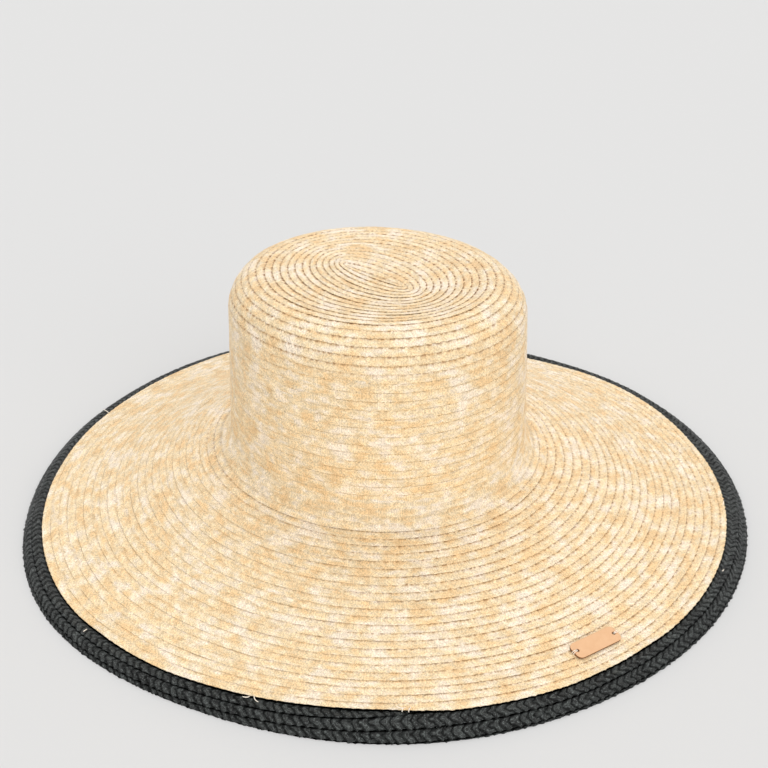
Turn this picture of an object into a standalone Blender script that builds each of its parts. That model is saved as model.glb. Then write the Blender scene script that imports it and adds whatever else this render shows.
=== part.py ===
"""A wide-brimmed hat sewn from one long straw plait, with a flat-topped oval crown,
an edge of dark plait rows that turns down to the surface it rests on, and a small
leather tag on the brim.

Every piece follows one surface. Its outline, from the middle of the tip to the rim,
is a run of stretches along which the heading turns evenly, so each is a line or an
arc. The rings round it are ovals, and the brim's edge has a few gentle waves.
The brim's axis is Z, the hat's long axis is Y, and the tag is at the -Y end.
"""

from math import cos, pi, radians, sin, tan

import bpy
import numpy as np
from mathutils import Matrix, Vector

# Head size, inside the foot of the crown
HEAD_WIDTH = 0.176
HEAD_LENGTH = 0.189

# Thicknesses and the clearance between pieces
STRAW_THICKNESS = 0.0016
EDGE_THICKNESS = 0.0013
CLEARANCE = 0.0003

# Crown
TIP_DISH = 0.0014  # how far the middle of the tip lies below its edge
TIP_START_LENGTH = 0.044  # the straight run that the oval tip grows round
TIP_CORNER_RADIUS = 0.0219
SIDE_LENGTH = 0.0788  # straight part of the side wall, along its slope
SIDE_TAPER = radians(2.9)
FOOT_RADIUS = 0.0134  # fillet between the side wall and the brim
CROWN_SHIFT_SIDE = 0.0025
CROWN_SHIFT_BACK = 0.0050

# Brim, with slopes measured below the horizontal
BRIM_WIDTH = 0.1202
BRIM_ROOT_SLOPE = radians(14.8)
BRIM_MIDDLE_SLOPE = radians(19.6)
BRIM_OUTER_SLOPE = radians(4.8)
CROWN_LAP = 0.0050  # how far the crown's last row lies over the brim
LAP_BLEND = 0.0060  # beyond the lap, where the brim rises to the hat's surface

# Edge rows, each lapped under the one before it
EDGE_ROWS = 2
EDGE_ROW_PITCH = 0.0072
EDGE_ROW_LAP = 0.0020
LIP_SHOWS = 0.0021  # what shows of the last row, below the others
RIM_SLOPE = radians(64.5)

# Leather tag
TAG_LENGTH = 0.0305
TAG_WIDTH = 0.0105
TAG_THICKNESS = 0.0012
TAG_CORNER = 0.0020
TAG_HOLE_RADIUS = 0.0008
TAG_HOLE_INSET = 0.0025
TAG_FROM_EDGE = 0.0183  # from the tag's middle out to the edge of the straw
TAG_AZIMUTH = radians(270.3)
TAG_TURN = radians(-0.6)

SEGMENTS = 60

# Waves of the brim's edge at even steps round it, from +X toward +Y, as shares of
# the brim's width: how much farther the rim reaches, and how much higher the
# straw's edge lies
WAVES = (
    # reach, lift
    (0.000, -0.005),
    (-0.045, -0.035),
    (0.000, -0.005),
    (0.022, 0.000),
    (0.002, -0.008),
    (-0.005, 0.000),
    (0.015, -0.028),
    (-0.030, -0.005),
    (-0.012, 0.024),
    (-0.020, -0.010),
    (-0.002, 0.009),
    (0.013, -0.017),
)

# Lengths that follow from the sizes above
FOOT_HALF_WIDTH = HEAD_WIDTH / 2 + STRAW_THICKNESS
OVAL_EXCESS = (HEAD_LENGTH - HEAD_WIDTH) / 2
WALL_HEADING = pi / 2 - SIDE_TAPER
CORNER_HALF_WIDTH = FOOT_HALF_WIDTH - SIDE_LENGTH * sin(SIDE_TAPER)
TIP_FLAT = CORNER_HALF_WIDTH - TIP_CORNER_RADIUS * sin(WALL_HEADING)
TIP_RISE = -2 * TIP_DISH / TIP_FLAT  # heading at the outer end of the dished tip
CORNER_LENGTH = TIP_CORNER_RADIUS * (WALL_HEADING - TIP_RISE)
FOOT_LENGTH = FOOT_RADIUS * (WALL_HEADING - BRIM_ROOT_SLOPE)
EDGE_WIDTH = EDGE_ROWS * EDGE_ROW_PITCH + LIP_SHOWS
LIP_WIDTH = EDGE_ROW_LAP + LIP_SHOWS

STRETCHES = (
    # length, heading at its start, heading at its end
    (TIP_FLAT, 0.0, TIP_RISE),
    (CORNER_LENGTH, TIP_RISE, WALL_HEADING),
    (SIDE_LENGTH, WALL_HEADING, WALL_HEADING),
    (FOOT_LENGTH, WALL_HEADING, BRIM_ROOT_SLOPE),
    (BRIM_WIDTH / 2, BRIM_ROOT_SLOPE, BRIM_MIDDLE_SLOPE),
    (BRIM_WIDTH / 2, BRIM_MIDDLE_SLOPE, BRIM_OUTER_SLOPE),
    (EDGE_WIDTH, BRIM_OUTER_SLOPE, RIM_SLOPE),
)

# Distances along the outline, from the middle of the tip
CORNER_START = TIP_FLAT
SIDE_START = CORNER_START + CORNER_LENGTH
FOOT_START = SIDE_START + SIDE_LENGTH
BRIM_START = FOOT_START + FOOT_LENGTH
STRAW_EDGE = BRIM_START + BRIM_WIDTH
RIM = STRAW_EDGE + EDGE_WIDTH
LIP_START = RIM - LIP_WIDTH


def smooth_step(share):
    """0 to 1 with level ends, as share goes from 0 to 1."""
    share = np.clip(share, 0, 1)
    return share * share * (3 - 2 * share)


def meridian(distance):
    """Reach from the axis, height above the rim and heading at a distance along the outline."""
    distance = np.asarray(distance, float)
    reach = np.zeros_like(distance)
    height = np.zeros_like(distance)
    heading = np.zeros_like(distance)
    passed = 0.0
    drop = 0.0
    for length, start, end in STRETCHES:
        part = np.clip(distance - passed, 0, length)
        turn = (end - start) * part / length
        chord = part * np.sinc(turn / 2 / pi)
        reach += chord * np.cos(start + turn / 2)
        height -= chord * np.sin(start + turn / 2)
        heading = np.where(part > 0, start + turn, heading)
        full_turn = end - start
        drop += length * np.sinc(full_turn / 2 / pi) * sin(start + full_turn / 2)
        passed += length
    return reach, height + drop, heading


def wave(azimuth, column):
    """A column of WAVES, as a smooth curve through its rows that closes on itself."""
    rows = np.array([row[column] for row in WAVES])
    place = np.mod(azimuth, 2 * pi) / (2 * pi) * len(rows)
    index = np.floor(place).astype(int)
    share = place - index
    before, here, after, beyond = (rows[(index + step) % len(rows)] for step in (-1, 0, 1, 2))
    slope = (after - before) / 2
    next_slope = (beyond - here) / 2
    rise = after - here
    return here + share * (
        slope + share * (3 * rise - 2 * slope - next_slope + share * (slope + next_slope - 2 * rise))
    )


def surface(distance, azimuth, offset=0.0):
    """Points of the hat's surface, or at an offset outward from it, as an array ending in x, y, z."""
    distance, azimuth, offset = np.broadcast_arrays(distance, azimuth, offset)
    reach, height, heading = meridian(distance)
    reach = reach + offset * np.sin(heading)
    height = height + offset * np.cos(heading)
    # The oval is long at the start of the plait, follows the head at the crown and is round at the rim
    across_brim = np.clip((distance - BRIM_START) / (RIM - BRIM_START), 0, 1)
    across_tip = np.clip(distance / TIP_FLAT, 0, 1)
    excess = TIP_START_LENGTH / 2 * (1 - across_tip) + OVAL_EXCESS * across_tip * (1 - across_brim)
    # The waves grow toward the edge, and the lift is gone again at the lip
    lift_share = np.where(
        distance < STRAW_EDGE,
        np.clip((distance - BRIM_START) / BRIM_WIDTH, 0, 1) ** 2,
        np.clip((LIP_START - distance) / (LIP_START - STRAW_EDGE), 0, 1),
    )
    reach = reach + wave(azimuth, 0) * BRIM_WIDTH * across_brim**2
    height = height + wave(azimuth, 1) * BRIM_WIDTH * lift_share
    # The crown sits a little off the brim's middle
    shift = smooth_step(1 - (distance - BRIM_START) / (BRIM_WIDTH / 2))
    x = reach * np.cos(azimuth) - CROWN_SHIFT_SIDE * shift
    y = (reach + excess) * np.sin(azimuth) + CROWN_SHIFT_BACK * shift
    return np.stack([x, y, height], axis=-1)


def azimuths():
    return np.arange(SEGMENTS) * 2 * pi / SEGMENTS


def rings(section):
    """One ring of points for each distance and offset of the section."""
    section = np.array(section)
    return surface(section[:, :1], azimuths()[None, :], section[:, 1:])


def lofted_mesh(name, points, closed_section=False, fill_first=False):
    """A mesh through rings of points. Its section closes on itself, or its first ring may be filled."""
    count = len(points)
    ring = np.arange(count if closed_section else count - 1)[:, None]
    turn = np.arange(SEGMENTS)[None, :]
    next_ring = (ring + 1) % count
    next_turn = (turn + 1) % SEGMENTS
    corners = (
        ring * SEGMENTS + turn,
        next_ring * SEGMENTS + turn,
        next_ring * SEGMENTS + next_turn,
        ring * SEGMENTS + next_turn,
    )
    faces = np.stack(np.broadcast_arrays(*corners), axis=-1).reshape(-1, 4).tolist()
    if fill_first:
        faces.append(list(range(SEGMENTS)))
    mesh = bpy.data.meshes.new(name)
    mesh.from_pydata(points.reshape(-1, 3).tolist(), [], faces)
    mesh.shade_smooth()
    mesh.set_sharp_from_angle(angle=radians(35))
    return mesh


def material(name, colour, roughness):
    """A Principled material from a linear colour."""
    made = bpy.data.materials.new(name)
    made.use_nodes = True
    shader = made.node_tree.nodes["Principled BSDF"]
    shader.inputs["Base Color"].default_value = (*colour, 1)
    shader.inputs["Roughness"].default_value = roughness
    shader.inputs["Metallic"].default_value = 0
    return made


def add_object(name, mesh, surface_material, collection, parent):
    made = bpy.data.objects.new(name, mesh)
    mesh.materials.append(surface_material)
    collection.objects.link(made)
    made.parent = parent
    return made


def thicken(shell):
    """Gives an open surface the straw's thickness, on its inner side."""
    solidify = shell.modifiers.new("straw thickness", "SOLIDIFY")
    solidify.thickness = STRAW_THICKNESS
    solidify.offset = -1
    solidify.use_even_offset = True
    solidify.use_quality_normals = True


def stations(start, end, count):
    """Even distances from start to end, without the last."""
    return list(start + (end - start) * np.arange(count) / count)


def make_crown(straw, collection, parent):
    """Tip, rounded corner, side wall and foot in one, down to the row that laps over the brim."""
    distances = (
        stations(TIP_FLAT / 8, CORNER_START, 5)
        + stations(CORNER_START, SIDE_START, 6)
        + stations(SIDE_START, FOOT_START, 3)
        + stations(FOOT_START, BRIM_START, 4)
        + [BRIM_START, BRIM_START + CROWN_LAP]
    )
    mesh = lofted_mesh("crown", rings([(distance, 0.0) for distance in distances]), fill_first=True)
    thicken(add_object("crown", mesh, straw, collection, parent))


def make_brim(straw, collection, parent):
    """The straw brim, tucked under the crown's last row and ending over the first edge row."""
    tucked = -(STRAW_THICKNESS + CLEARANCE)
    lap_end = BRIM_START + CROWN_LAP
    section = [(BRIM_START, tucked), (lap_end, tucked), (lap_end + LAP_BLEND, 0.0)]
    for distance in stations(lap_end + LAP_BLEND, STRAW_EDGE, 8)[1:] + [STRAW_EDGE]:
        section.append((distance, 0.0))
    thicken(add_object("brim", lofted_mesh("brim", rings(section)), straw, collection, parent))


def row_section(start, cover):
    """Top of an edge row, as distances and offsets, under a cover of the given thickness."""
    hidden = -(cover + CLEARANCE)
    step = EDGE_THICKNESS + CLEARANCE
    rise = step / EDGE_ROW_PITCH
    # Only a row under another row of its own kind leans with it from its hidden edge on
    lap_offset = hidden + rise * EDGE_ROW_LAP if cover == EDGE_THICKNESS else hidden
    return [
        (start, hidden),
        (start + EDGE_ROW_LAP, lap_offset),
        (start + EDGE_ROW_PITCH, 0.0),
        (start + EDGE_ROW_PITCH + EDGE_ROW_LAP, rise * EDGE_ROW_LAP),
    ]


def make_edge_rows(dark, collection, parent):
    """The dark rows, each a flat strip that leans so that the next one fits under it."""
    for row in range(EDGE_ROWS):
        start = STRAW_EDGE - EDGE_ROW_LAP + row * EDGE_ROW_PITCH
        cover = EDGE_THICKNESS if row else STRAW_THICKNESS
        top = row_section(start, cover)
        under = [(distance, offset - EDGE_THICKNESS) for distance, offset in reversed(top)]
        name = f"edge_row_{row + 1}"
        mesh = lofted_mesh(name, rings(top + under), closed_section=True)
        add_object(name, mesh, dark, collection, parent)


def make_edge_lip(dark, collection, parent):
    """The last dark row, which shows as a thin lip and is cut level where the hat rests."""
    hidden = -(EDGE_THICKNESS + CLEARANCE)
    shown = hidden + EDGE_ROW_LAP * (EDGE_THICKNESS + CLEARANCE) / EDGE_ROW_PITCH
    top = [(LIP_START, hidden), (LIP_START + EDGE_ROW_LAP, shown), (RIM, shown)]
    under = [(distance, offset - EDGE_THICKNESS) for distance, offset in reversed(top)]
    points = rings(top + under)
    # The outer ends of the top and of the underside slide along the rim's slope to height 0
    radial = np.stack([np.cos(azimuths()), np.sin(azimuths())], axis=-1)
    for ring in (len(top) - 1, len(top)):
        points[ring, :, :2] += radial * points[ring, :, 2:] / tan(RIM_SLOPE)
        points[ring, :, 2] = 0.0
    mesh = lofted_mesh("edge_lip", points, closed_section=True)
    add_object("edge_lip", mesh, dark, collection, parent)


def tag_outline():
    """A flat tag with clipped corners and a thread hole near each end."""
    outline = bpy.data.curves.new("label_tag", "CURVE")
    outline.dimensions = "2D"
    outline.fill_mode = "BOTH"
    outline.extrude = TAG_THICKNESS / 2
    half_length = TAG_LENGTH / 2
    half_width = TAG_WIDTH / 2
    corners = []
    for side_x, side_y in ((1, -1), (1, 1), (-1, 1), (-1, -1)):
        clipped = [
            (side_x * (half_length - TAG_CORNER), side_y * half_width),
            (side_x * half_length, side_y * (half_width - TAG_CORNER)),
        ]
        corners += clipped if side_x * side_y < 0 else clipped[::-1]
    loops = [corners]
    for side in (-1, 1):
        middle = side * (half_length - TAG_HOLE_INSET)
        turns = np.arange(10) * 2 * pi / 10
        loops.append([(middle + TAG_HOLE_RADIUS * cos(t), TAG_HOLE_RADIUS * sin(t)) for t in turns])
    for loop in loops:
        spline = outline.splines.new("POLY")
        spline.points.add(len(loop) - 1)
        spline.points.foreach_set("co", [value for x, y in loop for value in (x, y, 0, 1)])
        spline.use_cyclic_u = True
    return outline


def make_label_tag(leather, collection, parent):
    """The tag lies flat on the brim, its long side along the rows."""
    distance = STRAW_EDGE - TAG_FROM_EDGE
    step = 0.001
    middle = Vector(surface(distance, TAG_AZIMUTH))
    outward = Vector(surface(distance + step, TAG_AZIMUTH)) - middle
    along = Vector(surface(distance, TAG_AZIMUTH + step)) - middle
    normal = outward.cross(along).normalized()
    along = (Matrix.Rotation(TAG_TURN, 3, normal) @ along).normalized()
    frame = Matrix((along, normal.cross(along), normal)).transposed().to_4x4()
    frame.translation = middle + normal * (CLEARANCE + TAG_THICKNESS / 2)
    tag = add_object("label_tag", tag_outline(), leather, collection, parent)
    tag.matrix_local = frame


def rim_middle():
    """Middle of the box round the rim, which the hat is placed by."""
    rim = surface(RIM, azimuths(), -(EDGE_THICKNESS + CLEARANCE))
    return (rim.min(axis=0) + rim.max(axis=0)) / 2


def main():
    for old in list(bpy.data.objects):
        bpy.data.objects.remove(old, do_unlink=True)
    collection = bpy.data.collections.new("straw_hat")
    bpy.context.scene.collection.children.link(collection)
    hat = bpy.data.objects.new("straw_hat_frame", None)
    collection.objects.link(hat)
    middle = rim_middle()
    hat.location = (-middle[0], -middle[1], 0)

    straw = material("bleached wheat straw plait", (0.86, 0.67, 0.38), 0.55)
    dark = material("black dyed straw plait", (0.022, 0.026, 0.028), 0.4)
    leather = material("vegetable tanned leather", (0.72, 0.42, 0.22), 0.6)
    make_crown(straw, collection, hat)
    make_brim(straw, collection, hat)
    make_edge_rows(dark, collection, hat)
    make_edge_lip(dark, collection, hat)
    make_label_tag(leather, collection, hat)


main()
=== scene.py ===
"""Looks of a wide-brimmed hat sewn from one wheat straw plait.

The plait runs in a spiral from the middle of the tip to the brim's edge, and each turn
lies over the next one out, like shingles. A darker plait goes on under it round the edge.
Lengths are in metres, the brim's axis is Z and the hat's long axis is Y.
"""

from math import cos, pi, radians, sin

import bpy
import numpy as np
from bpy.props import FloatProperty, FloatVectorProperty, PointerProperty
from mathutils import Matrix, Vector


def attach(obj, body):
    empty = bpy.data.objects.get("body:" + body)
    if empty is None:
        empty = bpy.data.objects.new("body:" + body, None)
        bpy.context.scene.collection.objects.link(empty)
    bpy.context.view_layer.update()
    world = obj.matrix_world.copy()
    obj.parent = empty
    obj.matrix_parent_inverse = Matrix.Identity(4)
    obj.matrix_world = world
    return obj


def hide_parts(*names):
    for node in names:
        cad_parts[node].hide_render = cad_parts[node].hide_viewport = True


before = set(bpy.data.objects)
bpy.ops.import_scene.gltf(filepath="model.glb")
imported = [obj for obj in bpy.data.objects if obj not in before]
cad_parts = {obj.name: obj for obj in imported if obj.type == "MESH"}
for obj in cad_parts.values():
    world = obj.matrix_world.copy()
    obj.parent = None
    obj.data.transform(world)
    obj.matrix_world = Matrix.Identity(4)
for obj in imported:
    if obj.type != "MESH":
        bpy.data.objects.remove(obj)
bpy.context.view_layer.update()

bl_info = {
    "name": "Sewn straw hat",
    "version": (1, 0, 0),
    "blender": (4, 5, 0),
    "location": "View3D > Sidebar > Straw hat",
    "description": "Builds the plait, tag and stage of a wide-brimmed straw hat",
    "category": "Add Mesh",
}

# Shape of the hat, as the solids have it
HEAD_WIDTH = 0.176
HEAD_LENGTH = 0.189
STRAW_THICKNESS = 0.0016
EDGE_THICKNESS = 0.0013
CLEARANCE = 0.0003
TIP_DISH = 0.0014
TIP_START_LENGTH = 0.044
TIP_CORNER_RADIUS = 0.0219
SIDE_LENGTH = 0.0788
SIDE_TAPER = radians(2.9)
FOOT_RADIUS = 0.0134
CROWN_SHIFT_SIDE = 0.0025
CROWN_SHIFT_BACK = 0.0050
BRIM_WIDTH = 0.1202
BRIM_ROOT_SLOPE = radians(14.8)
BRIM_MIDDLE_SLOPE = radians(19.6)
BRIM_OUTER_SLOPE = radians(4.8)
EDGE_WIDTH = 0.0165
LIP_WIDTH = 0.0041
RIM_SLOPE = radians(64.5)
TAG_LENGTH = 0.0305
TAG_WIDTH = 0.0105
TAG_THICKNESS = 0.0012
TAG_HOLE_RADIUS = 0.0008
TAG_HOLE_INSET = 0.0025
TAG_FROM_EDGE = 0.0183
TAG_AZIMUTH = radians(270.3)
TAG_TURN = radians(-0.6)
SEGMENTS = 60
WAVES = (
    # reach, lift, as shares of the brim's width, at even steps round it
    (0.000, -0.005),
    (-0.045, -0.035),
    (0.000, -0.005),
    (0.022, 0.000),
    (0.002, -0.008),
    (-0.005, 0.000),
    (0.015, -0.028),
    (-0.030, -0.005),
    (-0.012, 0.024),
    (-0.020, -0.010),
    (-0.002, 0.009),
    (0.013, -0.017),
)

FOOT_HALF_WIDTH = HEAD_WIDTH / 2 + STRAW_THICKNESS
OVAL_EXCESS = (HEAD_LENGTH - HEAD_WIDTH) / 2
WALL_HEADING = pi / 2 - SIDE_TAPER
CORNER_HALF_WIDTH = FOOT_HALF_WIDTH - SIDE_LENGTH * sin(SIDE_TAPER)
TIP_FLAT = CORNER_HALF_WIDTH - TIP_CORNER_RADIUS * sin(WALL_HEADING)
TIP_RISE = -2 * TIP_DISH / TIP_FLAT
CORNER_LENGTH = TIP_CORNER_RADIUS * (WALL_HEADING - TIP_RISE)
FOOT_LENGTH = FOOT_RADIUS * (WALL_HEADING - BRIM_ROOT_SLOPE)
STRETCHES = (
    # length, heading at its start, heading at its end
    (TIP_FLAT, 0.0, TIP_RISE),
    (CORNER_LENGTH, TIP_RISE, WALL_HEADING),
    (SIDE_LENGTH, WALL_HEADING, WALL_HEADING),
    (FOOT_LENGTH, WALL_HEADING, BRIM_ROOT_SLOPE),
    (BRIM_WIDTH / 2, BRIM_ROOT_SLOPE, BRIM_MIDDLE_SLOPE),
    (BRIM_WIDTH / 2, BRIM_MIDDLE_SLOPE, BRIM_OUTER_SLOPE),
    (EDGE_WIDTH, BRIM_OUTER_SLOPE, RIM_SLOPE),
)
SIDE_START = TIP_FLAT + CORNER_LENGTH
FOOT_START = SIDE_START + SIDE_LENGTH
BRIM_START = FOOT_START + FOOT_LENGTH
STRAW_EDGE = BRIM_START + BRIM_WIDTH
RIM = STRAW_EDGE + EDGE_WIDTH
LIP_START = RIM - LIP_WIDTH

# How far apart the turns of the straw plait lie, up to a distance along the outline
ROW_PITCHES = (
    # up to, pitch
    (SIDE_START, 0.00505),
    (FOOT_START, 0.00530),
    (BRIM_START, 0.00420),
    (RIM, 0.00520),
)
# Where the plait's first turn lies: the seam in the tip is turned from the long axis and off the middle
TIP_TURN = radians(12)
TIP_SHIFT = -0.0032
STRAW_END_AZIMUTH = radians(62)  # the last turn runs out here, at the back
FRONT_AZIMUTH = radians(240)  # here the outer turns are parallel to the edge
PRESSED_FROM = radians(-34)  # the brim is pressed flat on the side away from here

# Edge of the straw round the brim: how far it lies beyond its even line
STRAW_EDGE_LINE = (
    # azimuth in degrees, beyond
    (0, -0.0008), (30, -0.0004), (60, 0.0002), (100, -0.0012), (120, -0.0010),
    (140, -0.0014), (160, 0.0003), (185, 0.0000), (190, -0.0005), (204, 0.0011),
    (210, 0.0005), (221, -0.0002), (226, -0.0008), (236, -0.0008), (239, 0.0002),
    (245, 0.0013), (250, 0.0009), (262, 0.0003), (267, -0.0007), (276, -0.0010),
    (282, 0.0000), (290, 0.0000), (302, -0.0008), (310, -0.0015), (320, -0.0016),
    (330, -0.0010), (340, -0.0015),
)

# Outer edge of the dark plait along its turns, beyond the straw's even edge line
DARK_START_AZIMUTH = radians(239)
DARK_TURNS = 3.25
DARK_EDGE_LINE = (
    # turn, beyond
    (0.000, 0.0016), (0.022, 0.0048), (0.044, 0.0056), (0.064, 0.0063), (0.092, 0.0070),
    (0.300, 0.0074), (0.828, 0.0066), (0.883, 0.0066), (0.911, 0.0070), (0.933, 0.0076),
    (0.967, 0.0079), (0.994, 0.0087), (1.022, 0.0103), (1.044, 0.0110), (1.064, 0.0120),
    (1.092, 0.0134), (1.300, 0.0142), (1.830, 0.0143), (1.950, 0.0148), (2.000, 0.0155),
    (2.060, 0.0162), (2.300, 0.0165), (3.250, 0.0165),
)

# Loose strands. A heading of 0 points outward, and grows toward growing azimuth
LOOSE_STRANDS = (
    # azimuth in degrees, beyond the straw's edge, length, heading in degrees, rise, bend in degrees
    (239.5, -0.0022, 0.0046, -38, 0.0016, 35),
    (238.8, -0.0016, 0.0052, -62, 0.0024, -30),
    (238.4, -0.0018, 0.0036, -20, 0.0008, 20),
    (239.1, -0.0012, 0.0030, 15, 0.0018, -40),
    (218.0, -0.0012, 0.0068, 12, 0.0012, 60),
    (217.6, 0.0006, 0.0040, -35, 0.0008, -55),
    (189.2, -0.0020, 0.0050, 60, 0.0014, 40),
    (188.5, 0.0030, 0.0030, 10, 0.0006, 10),
    (222.5, -0.0012, 0.0052, 80, 0.0014, 20),
    (318.0, -0.0014, 0.0038, 70, 0.0012, 15),
    (122.6, -0.0012, 0.0062, -30, 0.0016, 30),
    (298.9, 0.0029, 0.0024, 70, 0.0002, 10),
)
STRAND_RADIUS = 0.00027
STRAND_LIFT = 0.00035  # middle of a strand above the surface
THREAD_RADIUS = 0.00022
THREAD_SUNK = 0.0005  # a thread starts this deep in its hole
THREAD_REACH = 0.0009  # passes the tag's end by this much
THREAD_DROP = 0.0011  # and goes down this far there
ASKEW = (0.13, 0.21, 0.97)  # no strand or thread runs this way
TAG_CORNER = 0.0032  # worn a little rounder than it was stamped
TAG_ROUNDING = 0.00022  # of the tag's cut border

# How the plaits lie
FIRST_TURN = 0.02  # the spiral's very middle is left out
LEAST_PITCH = 0.0004  # a turn shows at least this much
LEAST_LAP = 0.0016  # and goes on at least this far under the one above
CROWN_LAP = 0.0025  # the crown's last turn goes this far down the brim
STRAW_OVER_DARK = 0.00135  # how deep the dark plait lies where the straw ends
STRAW_WANDER = 0.00022  # how far the edge of a turn strays from an even pitch
DARK_WANDER = 0.00012
ROW_WAVE = 0.00016  # slow rise and fall along the straw's turns
STRAW_ROUNDING = 0.00012  # rise of the straw plait's middle
DARK_UNEVEN = 0.00016  # rise and fall of single dark straws
DARK_BULGE = 0.00018  # of the rim at each tooth
UNDERLAP = 0.0001  # keeps a turn's hidden part clear of the turn above
# Where a section has its upper points, as shares of what shows of the turn
STRAW_SHARES = np.array([0.10, 0.40, 0.70, 0.93])
DARK_SHARES = np.array([0.04, 0.18, 0.34, 0.50, 0.66, 0.82, 0.94])


def linear(hexadecimal):
    """Linear colour of an sRGB hex value such as 'FFE8C0', by the sRGB curve."""
    values = np.array([int(hexadecimal[i : i + 2], 16) / 255 for i in (0, 2, 4)])
    curve = np.where(values <= 0.04045, values / 12.92, ((values + 0.055) / 1.055) ** 2.4)
    return tuple(float(value) for value in curve)


def smooth_step(share):
    """0 to 1 with level ends: 3 s^2 - 2 s^3, as the share s goes from 0 to 1."""
    share = np.clip(share, 0, 1)
    return share * share * (3 - 2 * share)


def even_noise(periods, seed):
    """A smooth wander between about -1 and 1: a sum of four sines whose periods don't divide each other.
    The largest has a period of 1."""
    total = np.zeros_like(periods)
    for index, (rate, size) in enumerate(((1.0, 0.45), (2.37, 0.30), (5.11, 0.20), (0.43, 0.35))):
        total += size * np.sin(2 * pi * rate * periods + seed * (index + 1.7))
    return total


def meridian(distance):
    """Reach, height and heading along the outline: each stretch is a line or an arc, so its chord is
    its length times sinc of half its turn, along the middle heading."""
    distance = np.asarray(distance, float)
    reach = np.zeros_like(distance)
    height = np.zeros_like(distance)
    heading = np.zeros_like(distance)
    passed = 0.0
    drop = 0.0
    for length, start, end in STRETCHES:
        part = np.clip(distance - passed, 0, length)
        turn = (end - start) * part / length
        chord = part * np.sinc(turn / 2 / pi)
        reach += chord * np.cos(start + turn / 2)
        height -= chord * np.sin(start + turn / 2)
        heading = np.where(part > 0, start + turn, heading)
        full_turn = end - start
        drop += length * np.sinc(full_turn / 2 / pi) * sin(start + full_turn / 2)
        passed += length
    return reach, height + drop, heading


def wave(azimuth, column):
    """A column of WAVES as a closed curve: a cubic between rows, sloped by the rows on both sides."""
    rows = np.array([row[column] for row in WAVES])
    step = np.mod(azimuth, 2 * pi) / (2 * pi) * len(rows)
    index = np.floor(step).astype(int)
    share = step - index
    before, here, after, beyond = (rows[(index + ahead) % len(rows)] for ahead in (-1, 0, 1, 2))
    slope = (after - before) / 2
    next_slope = (beyond - here) / 2
    rise = after - here
    return here + share * (
        slope + share * (3 * rise - 2 * slope - next_slope + share * (slope + next_slope - 2 * rise))
    )


def surface(distance, azimuth, offset=0.0):
    """Points of the hat's surface: the outline's reach and height, moved out by the offset along the
    outline's normal, on an oval whose length passes its width by the excess, with the edge's waves."""
    distance, azimuth, offset = np.broadcast_arrays(distance, azimuth, offset)
    reach, height, heading = meridian(distance)
    reach = reach + offset * np.sin(heading)
    height = height + offset * np.cos(heading)
    across_brim = np.clip((distance - BRIM_START) / (RIM - BRIM_START), 0, 1)
    across_tip = np.clip(distance / TIP_FLAT, 0, 1)
    excess = TIP_START_LENGTH / 2 * (1 - across_tip) + OVAL_EXCESS * across_tip * (1 - across_brim)
    lift_share = np.where(
        distance < STRAW_EDGE,
        np.clip((distance - BRIM_START) / BRIM_WIDTH, 0, 1) ** 2,
        np.clip((LIP_START - distance) / (LIP_START - STRAW_EDGE), 0, 1),
    )
    reach = reach + wave(azimuth, 0) * BRIM_WIDTH * across_brim**2
    height = height + wave(azimuth, 1) * BRIM_WIDTH * lift_share
    shift = smooth_step(1 - (distance - BRIM_START) / (BRIM_WIDTH / 2))
    x = reach * np.cos(azimuth)
    y = (reach + excess) * np.sin(azimuth)
    # The plait's first turns are turned a little from the hat's long axis
    inward = (1 - across_tip) ** 2
    turn = TIP_TURN * inward
    x = x + TIP_SHIFT * inward
    turned_x = x * np.cos(turn) - y * np.sin(turn) - CROWN_SHIFT_SIDE * shift
    turned_y = x * np.sin(turn) + y * np.cos(turn) + CROWN_SHIFT_BACK * shift
    return np.stack([turned_x, turned_y, height], axis=-1)


def hat_middle():
    """Middle of the box round the rim, which the hat is placed by."""
    azimuths = np.arange(SEGMENTS) * 2 * pi / SEGMENTS
    rim = surface(RIM, azimuths, -(EDGE_THICKNESS + CLEARANCE))
    middle = (rim.min(axis=0) + rim.max(axis=0)) / 2
    return np.array([middle[0], middle[1], 0.0])


HAT_MIDDLE = hat_middle()


def place(distance, azimuth, offset=0.0):
    """Points of the surface where the hat stands."""
    return surface(distance, azimuth, offset) - HAT_MIDDLE


def straw_turns():
    """Distances along the outline after each even step of a turn, for the straw plait."""
    turns = [0.0]
    distances = [0.0]
    for limit, pitch in ROW_PITCHES:
        turns.append(turns[-1] + (limit - distances[-1]) / pitch)
        distances.append(limit)
    return np.array(turns), np.array(distances)


TURN_TABLE, DISTANCE_TABLE = straw_turns()


def turns_at(distance):
    """How many turns the straw plait has made at a distance along the outline."""
    return float(np.interp(distance, DISTANCE_TABLE, TURN_TABLE))


# The last turn reaches the straw's edge at the front, and runs out at the back
FRONT_TURN = turns_at(STRAW_EDGE)
STRAW_TURNS = FRONT_TURN + (FRONT_AZIMUTH - STRAW_END_AZIMUTH) / (2 * pi)


def straw_azimuth(turn):
    """The plait runs clockwise outward, seen from above."""
    return FRONT_AZIMUTH + 2 * pi * (FRONT_TURN - turn)


def edge_line(azimuth):
    """The straw's edge round the brim, as a distance along the outline."""
    degrees = np.mod(np.degrees(azimuth), 360)
    table = np.array(STRAW_EDGE_LINE)
    return STRAW_EDGE + np.interp(degrees, table[:, 0], table[:, 1], period=360)


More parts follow.
